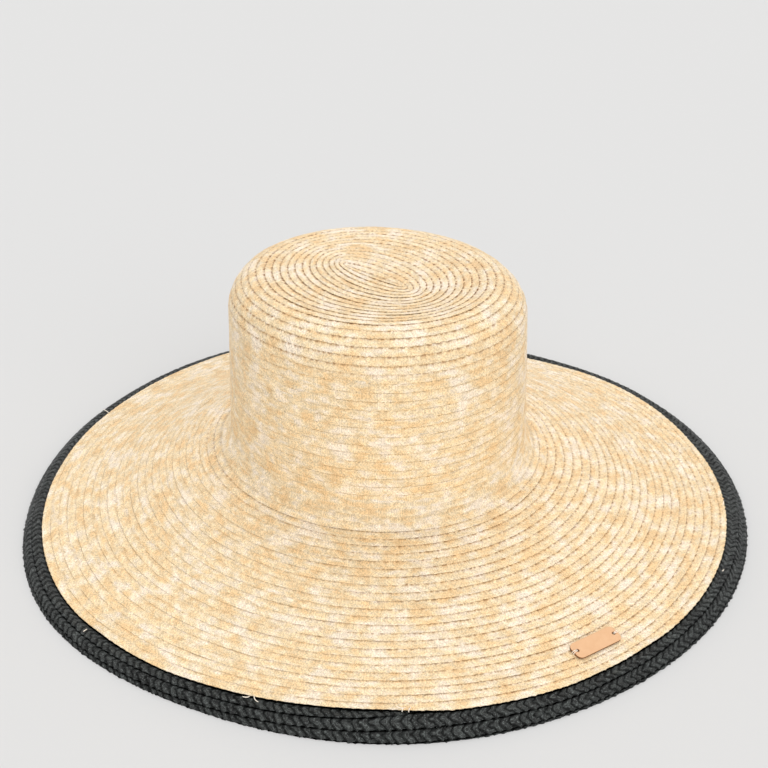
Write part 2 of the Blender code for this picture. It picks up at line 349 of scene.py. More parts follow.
def straw_outer(turn):
    """Distance of the plait's outer edge: the pitches summed over the turns, with a slow wander, held
    parallel to the edge at the front, and brought onto the edge's own line in the last turn."""
    outward = np.clip(turn / FRONT_TURN, 0, 1) ** 3
    parallel = turn - outward * np.sin(2 * pi * (turn - FRONT_TURN)) / (2 * pi)
    even = np.interp(parallel, TURN_TABLE, DISTANCE_TABLE, left=0.0)
    even = np.where(parallel < 0, parallel * ROW_PITCHES[0][1], even)
    even = even + STRAW_WANDER * even_noise(turn * 3.1, 1.0) * np.clip(turn / 3, 0, 1)
    last = smooth_step((turn - (STRAW_TURNS - 1.2)) / 0.35)
    return even + last * (edge_line(straw_azimuth(turn)) - even)


def dark_azimuth(turn):
    """The dark plait runs the same way round as the straw one."""
    return DARK_START_AZIMUTH - 2 * pi * turn


def dark_outer(turn):
    """Distance of the dark plait's outer edge: its table, averaged over a small part of a turn."""
    table = np.array(DARK_EDGE_LINE)
    spread = np.linspace(-0.012, 0.012, 7)
    beyond = sum(np.interp(turn + step, table[:, 0], table[:, 1]) for step in spread) / len(spread)
    return STRAW_EDGE + beyond + DARK_WANDER * even_noise(turn * 11, 2.0)


def even_steps(outer, azimuth, first, last, step):
    """Turns at even lengths along the plait's outer edge, and those lengths from its start."""
    turns = np.linspace(first, last, int((last - first) * 720) + 2)
    points = place(outer(turns), azimuth(turns))
    lengths = np.concatenate([[0], np.cumsum(np.linalg.norm(np.diff(points, axis=0), axis=1))])
    count = int(lengths[-1] / step) + 1
    even = np.linspace(0, lengths[-1], count + 1)
    return np.interp(even, lengths, turns), even


def chevron(along, from_edge, width, cell):
    """Relief of a plait, 0 to 1: pillows in two rows, split down the middle, whose borders slant both
    ways like a row of arrowheads. Each is one less a cube along the plait, and the root of a sine across
    its half."""
    half = width / 2
    phase = along / cell + np.abs(from_edge - half) / cell
    share = np.mod(phase, 1.0)
    pillow = 1 - np.abs(2 * share - 1) ** 3
    across = np.sin(pi * np.clip(np.mod(from_edge, half) / half, 0.02, 0.98)) ** 0.5
    return pillow * across


def tube_quads(steps, count):
    """Faces of a tube between its rings, each as the places of its four corners, ring after ring."""
    ring = np.arange(steps - 1)[:, None] * count
    corner = np.arange(count)[None, :]
    following = (corner + 1) % count
    corners_round = (ring + corner, ring + following, ring + count + following, ring + count + corner)
    return np.stack(np.broadcast_arrays(*corners_round), axis=-1).reshape(-1, 4)


def band_mesh(name, points, along, from_edge, from_seam, seam_shade_share, width):
    """A closed tube through sections, with its length and place across in metres in the map "plait", and
    its faces side by side in bands in the map "OFBake". Each section has the same count of points."""
    steps, count = points.shape[:2]
    quads = tube_quads(steps, count)
    start_cap = np.arange(count)[::-1]
    end_cap = (steps - 1) * count + np.arange(count)
    loops = np.concatenate([quads.ravel(), start_cap, end_cap])
    totals = np.concatenate([np.full(len(quads), 4), [count, count]])
    starts = np.concatenate([[0], np.cumsum(totals)[:-1]])

    mesh = bpy.data.meshes.new(name)
    mesh.vertices.add(steps * count)
    mesh.vertices.foreach_set("co", points.reshape(-1).astype(np.float32))
    mesh.loops.add(len(loops))
    mesh.loops.foreach_set("vertex_index", loops.astype(np.int32))
    mesh.polygons.add(len(totals))
    mesh.polygons.foreach_set("loop_start", starts.astype(np.int32))
    mesh.polygons.foreach_set("loop_total", totals.astype(np.int32))
    mesh.update(calc_edges=True)

    plait = np.stack([np.broadcast_to(along[:, None], (steps, count)), from_edge], axis=-1).reshape(-1, 2)
    layer = mesh.uv_layers.new(name="plait")
    layer.data.foreach_set("uv", plait[loops].astype(np.float32).ravel())
    seam = mesh.attributes.new("from_seam", "FLOAT", "POINT")
    seam.data.foreach_set("value", from_seam.astype(np.float32).ravel())
    seam_shade_strength = mesh.attributes.new("seam_shade_share", "FLOAT", "POINT")
    seam_shade_strength.data.foreach_set("value", np.repeat(seam_shade_share, count).astype(np.float32))

    # Bands are about as long as the whole map is wide, so that the map is filled evenly
    ring = np.arange(steps - 1)[:, None]
    corner = np.arange(count)[None, :]
    bands = max(1, int(round(np.sqrt((along[-1] - along[0]) / (2.4 * width)))))
    per_band = int(np.ceil((steps - 1) / bands))
    band = (ring // per_band).astype(float)
    left = (ring - band * per_band) / per_band
    right = (ring + 1 - band * per_band) / per_band
    margin = 0.04  # left free on both sides of a band
    low = (band + margin + (1 - 2 * margin) * corner / count) / bands
    high = (band + margin + (1 - 2 * margin) * (corner + 1) / count) / bands
    left, right, low, high = np.broadcast_arrays(left, right, low, high)
    flat = np.stack([left, low, left, high, right, high, right, low], axis=-1).reshape(-1, 2)
    cap = np.stack([np.full(2 * count, 0.0005), np.linspace(0.0002, 0.0015, 2 * count) / bands], axis=-1)
    bake = mesh.uv_layers.new(name="OFBake")
    bake.data.foreach_set("uv", np.concatenate([flat, cap]).astype(np.float32).ravel())
    mesh.polygons.foreach_set("use_smooth", totals == 4)
    return mesh


def tube_mesh(name, paths, radius, sides=6):
    """Tubes along paths: at each point a ring across the path, its radius drawn in at both ends."""
    vertices = []
    faces = []
    for path in paths:
        path = np.asarray(path, float)
        heading = np.gradient(path, axis=0)
        heading /= np.linalg.norm(heading, axis=1, keepdims=True)
        side = np.cross(heading, ASKEW)
        side /= np.linalg.norm(side, axis=1, keepdims=True)
        rise = np.cross(heading, side)
        share = np.linspace(0, 1, len(path))
        taper = np.sqrt(np.clip(4 * share * (1 - share), 0.15, 1)) ** 0.6
        angles = np.arange(sides)[:, None] * 2 * pi / sides
        ring = np.cos(angles) * side[:, None] + np.sin(angles) * rise[:, None]
        points = path[:, None] + radius * taper[:, None, None] * ring
        base = len(vertices)
        vertices += points.reshape(-1, 3).tolist()
        faces += (base + tube_quads(len(path), sides)).tolist()
        faces.append([base + index for index in range(sides)][::-1])
        faces.append([base + (len(path) - 1) * sides + index for index in range(sides)])
    mesh = bpy.data.meshes.new(name)
    mesh.from_pydata(vertices, [], faces)
    mesh.shade_smooth()
    return mesh


def add_piece(name, mesh, material, slot, *nodes):
    """Puts a mesh into the scene as a piece of the hat, standing for the nodes that it replaces."""
    piece = bpy.data.objects.new(name, mesh)
    mesh.materials.append(material)
    bpy.context.scene.collection.objects.link(piece)
    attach(piece, "root")
    if nodes:
        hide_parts(*nodes)
    return piece


def pressing(outer, azimuth):
    """How flat the straw plait was pressed, and how strong the painted shade in and beside its seams is, at
    each place. The crown's side and the left of the brim were pressed, which closed the seams there and
    weakens their painted shade, and on the tip, where the seams stand open, it is painted strongest.
    The fades between are smooth steps, 10 to 20 mm long."""
    to_right = np.cos(azimuth - PRESSED_FROM)
    side = smooth_step((outer - SIDE_START) / 0.010) * smooth_step((BRIM_START + 0.012 - outer) / 0.016)
    brim = smooth_step(0.36 - 0.9 * to_right) * smooth_step((outer - BRIM_START) / 0.020)
    pressed = np.maximum(side * (0.92 - 0.12 * to_right), 0.85 * brim)
    on_tip = smooth_step((TIP_FLAT + CORNER_LENGTH / 2 - outer) / 0.015)
    return pressed, (0.9 + 0.9 * on_tip) * (1 - 0.95 * pressed)


def straw_sections(turns, along, sizes):
    """Sections of the straw plait at the given turns. From the edge of the turn above, its top rises
    from one plait's thickness below the surface to the surface, with the pillows on it; the outer edge is
    rounded and toothed, and the hidden part lies on under the turn above."""
    outer = straw_outer(turns)
    above = straw_outer(turns - 1)
    pitch = np.maximum(outer - above, LEAST_PITCH)
    azimuth = straw_azimuth(turns)
    width = np.maximum(sizes.plait_width, pitch + LEAST_LAP)
    pressed, seam_shade_share = pressing(outer, azimuth)
    thick = sizes.plait_thickness * (1 - 0.96 * pressed)
    shown = pitch[:, None] * STRAW_SHARES
    top = -thick[:, None] * (1 - STRAW_SHARES)
    relief = chevron(along[:, None], pitch[:, None] - shown, sizes.plait_width, sizes.cell_length)
    fade = np.clip(shown / 0.0008, 0, 1)
    rounded = STRAW_ROUNDING * np.sin(pi * STRAW_SHARES)
    top = top + (sizes.relief * (relief - 0.5) * fade + rounded) * (1 - 0.85 * pressed)[:, None]
    uneven = 0.6 + 0.4 * even_noise(along / 0.047, 4.0)
    cells = 2 * pi * along / sizes.cell_length
    tooth = np.cos(cells) + 0.6 * np.cos(2 * cells + 0.8)
    ragged = even_noise(along / 0.0037, 9.0)
    scallop = sizes.scallop * (uneven * tooth + 0.7 * ragged) * (1 - 0.5 * pressed)
    top[:, -1] += 0.0001 * even_noise(along / 0.0043, 12.0)
    hidden = pitch - width
    seam = np.column_stack([hidden, shown, pitch + scallop + 0.0001, pitch * 0.95, hidden])
    edge = -0.45 * thick + 0.35 * scallop
    offset = np.column_stack([-thick - UNDERLAP, top, edge, -thick, -2 * thick])
    # Slow waves keep the rows from being too even
    offset = offset + ROW_WAVE * even_noise(along / 0.083, 3.0)[:, None]
    distance = np.maximum(above[:, None] + seam, 0)
    points = place(distance, azimuth[:, None], offset)
    return points, pitch[:, None] - seam, seam, seam_shade_share


def make_straw_piece(name, first, last, turns, along, sizes, material, replaced):
    """One stretch of the straw plait, between two of its steps."""
    stretch = slice(first, last + 1)
    points, from_edge, from_seam, seam_shade_share = straw_sections(turns[stretch], along[stretch], sizes)
    mesh = band_mesh(name, points, along[stretch], from_edge, from_seam, seam_shade_share, sizes.plait_width)
    return add_piece(name, mesh, material, "straw", replaced)


def dark_sections(turns, along, sizes):
    """Sections of the dark plait. The first turn lies under the straw and the others under the turn
    before, and nothing goes below the surface that the hat rests on."""
    outer = dark_outer(turns)
    azimuth = dark_azimuth(turns)
    straw = edge_line(azimuth)
    second = smooth_step((turns - 0.985) / 0.03)
    before = np.maximum(dark_outer(turns - 1), straw)
    above = straw + second * (before - straw)
    pitch = np.maximum(outer - above, LEAST_PITCH)
    width = np.maximum(sizes.dark_width, pitch + LEAST_LAP)
    thick = sizes.dark_thickness
    cover = STRAW_OVER_DARK + second * (thick - STRAW_OVER_DARK)
    shown = pitch[:, None] * DARK_SHARES
    top = -cover[:, None] * (1 - DARK_SHARES)
    relief = chevron(along[:, None], pitch[:, None] - shown, sizes.dark_width, sizes.dark_cell)
    fade = np.clip(shown / 0.0006, 0, 1)
    top = top + sizes.dark_relief * (relief - 0.6) * fade
    tooth = np.cos(2 * pi * along / sizes.dark_cell)
    ragged = even_noise(along / 0.0041, 6.0)
    scallop = sizes.dark_scallop * (tooth * (0.75 + 0.25 * even_noise(along / 0.031, 5.0)) + 0.5 * ragged)
    top = top + DARK_UNEVEN * even_noise(along[:, None] / 0.0047 + DARK_SHARES * 0.9, 7.0) * fade
    hidden = pitch - width
    seam = np.column_stack([hidden, shown, pitch + scallop, pitch * 0.95, hidden])
    # The last turns stand out at each tooth, so the rim isn't an even line
    bulge = DARK_BULGE * (tooth + 1.2 * ragged) * smooth_step((turns - 1.9) / 0.2)
    top = top + bulge[:, None]
    edge = -0.5 * thick + 0.8 * scallop + bulge
    offset = np.column_stack([-cover - UNDERLAP, top, edge, np.full_like(pitch, -thick), -cover - thick])
    distance = np.minimum(above[:, None] + seam, RIM)
    points = place(distance, azimuth[:, None], offset)
    points[..., 2] = np.maximum(points[..., 2], 0.0)
    return points, pitch[:, None] - seam, seam


def tag_frame():
    """Where the tag lies: flat on the brim, its long side along the rows."""
    distance = STRAW_EDGE - TAG_FROM_EDGE
    step = 0.001  # short enough to give the surface's slope, as a length and as an angle
    middle = Vector(place(distance, TAG_AZIMUTH))
    outward = Vector(place(distance + step, TAG_AZIMUTH)) - middle
    along = Vector(place(distance, TAG_AZIMUTH + step)) - middle
    normal = outward.cross(along).normalized()
    along = (Matrix.Rotation(TAG_TURN, 3, normal) @ along).normalized()
    turned = Matrix((along, normal.cross(along), normal)).transposed().to_4x4()
    turned.translation = middle + normal * (CLEARANCE + TAG_THICKNESS / 2)
    return turned


def tag_mesh():
    """The tag: a flat outline with round corners and two holes, given its thickness and a rounded
    border, then set on the brim."""
    outline = bpy.data.curves.new("tag_outline", "CURVE")
    outline.dimensions = "2D"
    outline.fill_mode = "BOTH"
    outline.bevel_depth = TAG_ROUNDING
    outline.bevel_resolution = 2
    outline.extrude = TAG_THICKNESS / 2 - outline.bevel_depth
    outline.offset = -outline.bevel_depth
    half_length = TAG_LENGTH / 2
    half_width = TAG_WIDTH / 2
    angles = np.linspace(0, pi / 2, 7)
    rounds = []
    for quarter, (side_x, side_y) in enumerate(((1, 1), (-1, 1), (-1, -1), (1, -1))):
        turned = angles + quarter * pi / 2
        corner_x = side_x * (half_length - TAG_CORNER) + TAG_CORNER * np.cos(turned)
        corner_y = side_y * (half_width - TAG_CORNER) + TAG_CORNER * np.sin(turned)
        rounds.append(np.stack([corner_x, corner_y], axis=-1))
    loops = [np.concatenate(rounds)]
    for side in (-1, 1):
        turns = -np.arange(16) * 2 * pi / 16
        hole_x = side * (half_length - TAG_HOLE_INSET) + TAG_HOLE_RADIUS * np.cos(turns)
        loops.append(np.stack([hole_x, TAG_HOLE_RADIUS * np.sin(turns)], axis=-1))
    for loop in loops:
        spline = outline.splines.new("POLY")
        spline.points.add(len(loop) - 1)
        flat = np.column_stack([loop, np.zeros(len(loop)), np.ones(len(loop))])
        spline.points.foreach_set("co", flat.ravel())
        spline.use_cyclic_u = True
    holder = bpy.data.objects.new("tag_outline", outline)
    bpy.context.scene.collection.objects.link(holder)
    bpy.context.view_layer.update()
    mesh = bpy.data.meshes.new_from_object(holder.evaluated_get(bpy.context.evaluated_depsgraph_get()))
    bpy.data.objects.remove(holder)
    mesh.transform(tag_frame())
    mesh.shade_smooth()
    mesh.set_sharp_from_angle(angle=radians(50))
    return mesh


def thread_paths():
    """Threads from each hole: two strands up through the hole, over the tag's end in an arch whose height
    is a power of a sine, and down to the straw."""
    turned = np.array(tag_frame())
    paths = []
    for side in (-1, 1):
        hole = side * (TAG_LENGTH / 2 - TAG_HOLE_INSET)
        end = side * (TAG_LENGTH / 2 + THREAD_REACH)
        for spread, rise in ((-0.00045, 0.00045), (0.00035, 0.00060)):
            share = np.linspace(0, 1, 15)
            x = hole + (end - hole) * (0.5 - 0.5 * np.cos(pi * share))
            y = spread * (0.3 + share * 1.3)
            arch = np.sin(pi * share)
            z = TAG_THICKNESS / 2 + rise * arch**0.7 - THREAD_SUNK * (1 - arch)
            z = z - THREAD_DROP * np.clip((share - 0.7) / 0.3, 0, 1)
            local = np.column_stack([x, y, z, np.ones_like(x)])
            paths.append((local @ turned.T)[:, :3])
    return paths


def strand_path(azimuth_degrees, beyond, length, heading_degrees, rise, bend_degrees):
    """A loose strand: a line along the surface at a heading that turns evenly, rising as a square."""
    share = np.linspace(0, 1, 12)
    heading = radians(heading_degrees) + radians(bend_degrees) * share
    outward = np.cumsum(np.cos(heading)) * length / len(share)
    sideways = np.cumsum(np.sin(heading)) * length / len(share)
    start = edge_line(radians(azimuth_degrees)) + beyond
    reach = float(meridian(start)[0])
    distance = np.minimum(start + outward, RIM - 0.0005)
    offset = STRAND_LIFT + rise * share**2
    return place(distance, radians(azimuth_degrees) + sideways / reach, offset)


# Settings that several shader nodes share
ABSOLUTE = {"operation": "ABSOLUTE"}
MULTIPLY = {"operation": "MULTIPLY"}
MULTIPLY_ADD = {"operation": "MULTIPLY_ADD"}
SUBTRACT = {"operation": "SUBTRACT"}
SMOOTH = {"interpolation_type": "SMOOTHSTEP"}
FLAT = {"noise_dimensions": "2D"}
COLOURS = {"data_type": "RGBA"}


def fill(tree, made, **inputs):
    """Gives a node's inputs values or links, by their names or by their places as in "i0". A colour of
    three values is made opaque."""
    for key, value in inputs.items():
        entry = made.inputs[int(key[1:]) if key[1:].isdigit() else key.replace("_", " ")]
        if isinstance(value, bpy.types.NodeSocket):
            tree.links.new(value, entry)
        elif entry.type == "RGBA":
            entry.default_value = (*value, 1)
        else:
            entry.default_value = value


def node(tree, kind, settings=None, output=0, **inputs):
    """Adds a shader node of a kind such as "Math", with its settings and inputs, and returns one of its
    outputs."""
    made = tree.nodes.new("ShaderNode" + kind)
    for key, value in (settings or {}).items():
        setattr(made, key, value)
    fill(tree, made, **inputs)
    return made.outputs[output]


def new_material(name):
    """An empty Principled material, its tree and its shader."""
    made = bpy.data.materials.new(name)
    made.use_nodes = True
    return made, made.node_tree, made.node_tree.nodes["Principled BSDF"]


def plait_coordinates(tree):
    """Place on the plait as its map has it, length along it, and distance from the seam, in metres."""
    plait = node(tree, "UVMap", {"uv_map": "plait"})
    along = node(tree, "SeparateXYZ", Vector=plait)
    from_seam = node(tree, "Attribute", {"attribute_name": "from_seam"}, output=2)
    from_seam = node(tree, "Math", ABSOLUTE, i0=from_seam)
    return plait, along, from_seam


def plait_straws(tree, along, width, cell, fibre_rates):
    """The plait's straws as its relief has them: a random value for each, how near its border is (0 there
    and 0.5 in its middle), the place along and across the straw, and its fibres, which are noise drawn
    out along the straw."""
    from_middle = node(tree, "Math", SUBTRACT, i0=along.node.outputs[1], i1=width / 2)
    slant = node(tree, "Math", ABSOLUTE, i0=from_middle)
    along_straw = node(tree, "Math", {"operation": "ADD"}, i0=along, i1=slant)
    across_straw = node(tree, "Math", SUBTRACT, i0=along, i1=slant)
    phase = node(tree, "Math", {"operation": "DIVIDE"}, i0=along_straw, i1=cell)
    number = node(tree, "Math", {"operation": "FLOOR"}, i0=phase)
    border = node(tree, "Math", {"operation": "PINGPONG"}, i0=phase, i1=0.5)
    side = node(tree, "Math", {"operation": "GREATER_THAN"}, i0=from_middle, i1=0.0)
    straw = node(tree, "CombineXYZ", X=number, Y=side)
    own = node(tree, "TexWhiteNoise", FLAT, Vector=straw)
    on_straw = node(tree, "CombineXYZ", X=along_straw, Y=across_straw)
    drawn_out = node(tree, "VectorMath", MULTIPLY, i0=on_straw, i1=(*fibre_rates, 0.0))
    fibre = node(tree, "TexNoise", FLAT, Vector=drawn_out, Scale=1.0, Detail=2.0, Roughness=0.6)
    return own, border, on_straw, fibre


def straw_material(colours, sizes):
    """Bleached wheat straw, split, plaited and sewn: pale and softly glossy, with warmer and paler
    lengths where one straw takes over from the next, and painted brown shade in and beside the seams."""
    made, tree, shader = new_material("bleached wheat straw plait")
    plait, along, from_seam = plait_coordinates(tree)
    # The real fibres are 0.1 mm apart. They are drawn 0.4 mm apart, to show
    own, border, on_straw, fibre = plait_straws(
        tree, along, sizes.plait_width, sizes.cell_length / 2, (2300.0, 260.0)
    )

    # Lengths of 10 to 20 mm where the straws are paler or warmer, some of them side by side
    stretched = node(tree, "VectorMath", MULTIPLY, i0=plait, i1=(85.0, 230.0, 0.0))
    patch = node(tree, "TexNoise", FLAT, Vector=stretched, Scale=1.0, Detail=3.0, Roughness=0.6)
    spot = node(tree, "TexCoord", output=3)
    drift = node(tree, "TexNoise", Vector=spot, Scale=75.0, Detail=2.0, Roughness=0.55)
    patch = node(tree, "Mix", i0=0.55, i2=patch, i3=drift)
    tone = node(tree, "ValToRGB", Fac=patch)
    ramp = tone.node.color_ramp.elements
    ramp[0].position = 0.39
    ramp[0].color = (*colours.warm, 1)
    ramp[1].position = 0.62
    ramp[1].color = (*colours.pale, 1)
    ramp.new(0.50).color = (*colours.straw, 1)

    # Each straw has its own tone, flecks of 1 to 2 mm where its skin was rubbed or stained, fibres, and
    # a thin line of painted shade in the groove where it borders on the next
    fleck = node(tree, "TexNoise", FLAT, Vector=on_straw, Scale=800.0, Detail=4.0, Roughness=0.7)
    shade = node(tree, "MapRange", Value=own, To_Min=0.90, To_Max=1.08)
    for settings, value, start, end, least, most in (
        (None, fleck, 0.38, 0.62, 0.74, 1.18),
        (None, fibre, 0.3, 0.7, 0.93, 1.05),
        # painted shade in the groove between straws
        (SMOOTH, border, 0.0, 0.11, 0.91, 1.0),
    ):
        factor = node(
            tree, "MapRange", settings, Value=value, From_Min=start, From_Max=end, To_Min=least, To_Max=most
        )
        shade = node(tree, "Math", MULTIPLY, i0=shade, i1=factor)
    mixed = node(tree, "VectorMath", {"operation": "SCALE"}, Vector=tone, Scale=shade)

    # Painted brown shade beside the seam and painted shade in it, both broken into dashes of 2 to 4 mm by
    # the straws that fold over at the plait's edge
    dash = node(tree, "TexNoise", {"noise_dimensions": "1D"}, W=along, Scale=330.0, Detail=2.0, Roughness=0.6)
    dash = node(tree, "MapRange", Value=dash, From_Min=0.42, From_Max=0.62, To_Min=0.05, To_Max=1.0)
    # How strong the painted seam shade is here: weak where the plait was pressed, strongest on the tip
    seam_shade_amount = node(tree, "Attribute", {"attribute_name": "seam_shade_share"}, output=2)
    for near, far, most, tint in (
        (0.0004, 0.0024, 0.32, colours.seam_halo),
        (0.00035, 0.00135, 0.72, colours.seam),
    ):
        share = node(
            tree, "MapRange", SMOOTH, Value=from_seam, From_Min=near, From_Max=far, To_Min=most, To_Max=0.0
        )
        for factor in (dash, seam_shade_amount):
            share = node(tree, "Math", MULTIPLY, i0=share, i1=factor)
        mixed = node(tree, "Mix", COLOURS, 2, i0=share, i6=mixed, i7=tint)

    # Straws are rounded across, with fine fibres on them
    relief = node(tree, "Math", MULTIPLY, i0=border, i1=0.5)
    relief = node(tree, "Math", MULTIPLY_ADD, i0=fibre, i1=0.45, i2=relief)
    relief = node(tree, "Math", MULTIPLY_ADD, i0=fleck, i1=0.6, i2=relief)
    bump = node(tree, "Bump", Strength=0.55, Distance=0.0004, Height=relief)
    fill(tree, shader, Base_Color=mixed, Normal=bump, Roughness=0.5, IOR=1.5, Specular_IOR_Level=0.4)
    return made


def dark_material(colours, sizes):
    """Wheat straw plait dyed black, which keeps its wax: painted grey glints stand for the light that
    single straws catch, and painted shade makes the gaps between them deep black."""
    made, tree, shader = new_material("black dyed wheat straw plait")
    _, along, from_seam = plait_coordinates(tree)
    own, border, on_straw, fibre = plait_straws(
        tree, along, sizes.dark_width, sizes.dark_cell, (1500.0, 330.0)
    )
    # Painted glints of 1 to 2 mm, where the wax catches the light, over a lighter tone that some straws have
    # at random
    glint_noise = node(tree, "TexNoise", FLAT, Vector=on_straw, Scale=760.0, Detail=3.0, Roughness=0.75)
    share = node(tree, "MapRange", Value=glint_noise, From_Min=0.50, From_Max=0.66, To_Min=0.0, To_Max=0.95)
    share = node(tree, "Math", {"operation": "MULTIPLY_ADD", "use_clamp": True}, i0=own, i1=0.30, i2=share)
    tone = node(tree, "Mix", COLOURS, 2, i0=share, i6=colours.dark, i7=colours.glint)

    # Painted shade: the gaps between the straws, and the plait just under the straw's edge and under each
    # turn above, are dark and hardly shine, because no light gets out of them
    gaps = node(
        tree, "MapRange", SMOOTH, Value=border, From_Min=0.0, From_Max=0.36, To_Min=0.26, To_Max=1.0
    )
    depth = node(
        tree, "MapRange", SMOOTH, Value=from_seam, From_Min=0.0002, From_Max=0.0012, To_Min=0.05, To_Max=1.0
    )
    gaps = node(tree, "Math", MULTIPLY, i0=gaps, i1=depth)
    shine = node(tree, "Math", MULTIPLY, i0=gaps, i1=0.42)
    # Fibre streaks: partly the straws' own tone, partly painted highlight where the fibres catch the light
    shade = node(tree, "MapRange", Value=fibre, From_Min=0.32, From_Max=0.70, To_Min=0.25, To_Max=1.9)
    shade = node(tree, "Math", MULTIPLY, i0=shade, i1=gaps)
    colour = node(tree, "VectorMath", {"operation": "SCALE"}, Vector=tone, Scale=shade)

    relief = node(tree, "Math", MULTIPLY_ADD, i0=fibre, i1=0.35, i2=border)
    relief = node(tree, "Math", MULTIPLY_ADD, i0=glint_noise, i1=0.9, i2=relief)
    bump = node(tree, "Bump", Strength=0.8, Distance=0.0009, Height=relief)
    fill(tree, shader, Base_Color=colour, Normal=bump, Roughness=0.38, IOR=1.5, Specular_IOR_Level=shine)
    return made


def leather_material(colours):
    """Vegetable tanned leather, split and stamped out: a fine pebbled face, a darker burnished edge where
    it was cut, round the outline and in the holes, and a darker ring on the face round each hole."""
    made, tree, shader = new_material("vegetable tanned leather")
    inverse = tag_frame().inverted()
    spot = node(tree, "TexCoord", output=3)
    local = node(tree, "Mapping", Vector=spot, Rotation=inverse.to_euler(), Location=inverse.translation)
    x, y, z = node(tree, "SeparateXYZ", Vector=local).node.outputs
    from_end = node(tree, "Math", ABSOLUTE, i0=x)
    from_end = node(tree, "Math", SUBTRACT, i0=from_end, i1=TAG_LENGTH / 2 - TAG_HOLE_INSET)
    from_hole = node(tree, "CombineXYZ", X=from_end, Y=y)
    from_hole = node(tree, "VectorMath", {"operation": "LENGTH"}, 1, Vector=from_hole)
    face = TAG_THICKNESS / 2
    edge, rim = (
        node(tree, "MapRange", SMOOTH, Value=value, From_Min=start, From_Max=end, To_Min=most, To_Max=0.0)
        for value, start, end, most in (
            (z, face - 0.00035, face - 0.00005, 1.0),
            (from_hole, TAG_HOLE_RADIUS + 0.00005, TAG_HOLE_RADIUS + 0.00045, 0.9),
        )
    )
    darker_edges = node(tree, "Math", {"operation": "MAXIMUM"}, i0=edge, i1=rim)
    cloud = node(tree, "TexNoise", Vector=local, Scale=240.0, Detail=3.0, Roughness=0.6)
    tone = node(tree, "Mix", COLOURS, 2, i0=cloud, i6=colours.leather, i7=colours.leather_pale)
    tone = node(tree, "Mix", COLOURS, 2, i0=darker_edges, i6=tone, i7=colours.leather_edge)
    # Grain pebbles of about 0.4 mm
    pebble = node(tree, "TexVoronoi", {"feature": "SMOOTH_F1"}, Vector=local, Scale=2400.0, Smoothness=0.6)
    bump = node(tree, "Bump", Strength=0.4, Distance=0.0001, Height=pebble)
    fill(tree, shader, Base_Color=tone, Normal=bump, Roughness=0.55)
    return made


def fine_material(name, colour, other, scale, detail, roughness):
    """Thread or split straw, whose colour drifts between two in soft clouds."""
    made, tree, shader = new_material(name)
    spot = node(tree, "TexCoord", output=3)
    cloud = node(tree, "TexNoise", Vector=spot, Scale=scale, Detail=detail)
    tone = node(tree, "Mix", COLOURS, 2, i0=cloud, i6=colour, i7=other)
    fill(tree, shader, Base_Color=tone, Roughness=roughness)
    return made


def floor_material(colours):
    """Matt seamless paper, which has no shine at all."""
    made, tree, shader = new_material("matt seamless paper")
    fill(tree, shader, Base_Color=colours.paper, Roughness=1.0, Specular_IOR_Level=0.0)
    return made


def length_property(name, description, default):
    """A length in metres, as the panel shows it."""
    return FloatProperty(
        name=name, description=description, default=default, unit="LENGTH", precision=5, min=0.0
    )


def colour_property(name, description, hexadecimal):
    """A colour given as an sRGB hex value."""
    return FloatVectorProperty(
        name=name, description=description, default=linear(hexadecimal), subtype="COLOR", size=3, min=0.0,
        max=1.0,
    )


class StrawHatSizes(bpy.types.PropertyGroup):
    """Sizes of the plaits"""

    plait_width: length_property("Plait width", "Width of the straw plait with its hidden part", 0.0070)
    plait_thickness: length_property("Plait thickness", "Thickness of the straw plait", 0.00040)
    cell_length: length_property("Cell length", "Length of one cell along the straw plait", 0.0049)
    relief: length_property("Relief", "Height of the straw plait's pillows", 0.00016)
    scallop: length_property("Teeth", "Depth of the teeth along the straw plait's edge", 0.00030)
    step: length_property("Step", "Length of one step of the straw plait's mesh", 0.0009)
    dark_width: length_property("Dark plait width", "Width of the dark plait with its hidden part", 0.0080)
    dark_thickness: length_property("Dark plait thickness", "Thickness of the dark plait", 0.00095)
    dark_cell: length_property("Dark cell length", "Length of one cell along the dark plait", 0.0050)
    dark_relief: length_property("Dark relief", "Height of the dark plait's pillows", 0.00065)
    dark_scallop: length_property("Dark teeth", "Depth of the teeth along the dark plait's edge", 0.00060)
    dark_step: length_property("Dark step", "Length of one step of the dark plait's mesh", 0.0009)


class StrawHatColours(bpy.types.PropertyGroup):
    """Colours of the hat and the floor"""

    straw: colour_property("Straw", "Most of the plait", "F5DDB4")
    pale: colour_property("Pale straw", "Straws that were bleached more", "FCEBD4")
    warm: colour_property("Warm straw", "Straws that kept their yellow", "F2CE9B")
    seam: colour_property("Seam", "Shade where one turn goes under the next", "8C5A2C")
    # Painted brown shade on the straw beside a seam, wider and weaker than the seam's own
    seam_halo: colour_property("Seam halo", "Straw beside a seam", "B47C3C")
    dark: colour_property("Dark straw", "Most of the dyed plait", "080909")
    # Painted highlight for the glints where the wax catches the light, and the lighter tone of straws that
    # took less dye
    glint: colour_property("Dark straw, lighter", "Dyed straws that took less dye", "565B59")
    leather: colour_property("Leather", "Face of the tag", "DBA97B")
    leather_pale: colour_property("Pale leather", "Lighter clouds of the tag's face", "E8BB90")
    leather_edge: colour_property("Leather edge", "Burnished edge of the tag", "7A4A26")
    thread: colour_property("Thread", "Sewing thread of the tag", "FAF4EA")
    paper: colour_property("Paper", "Floor", "D6D6D6")


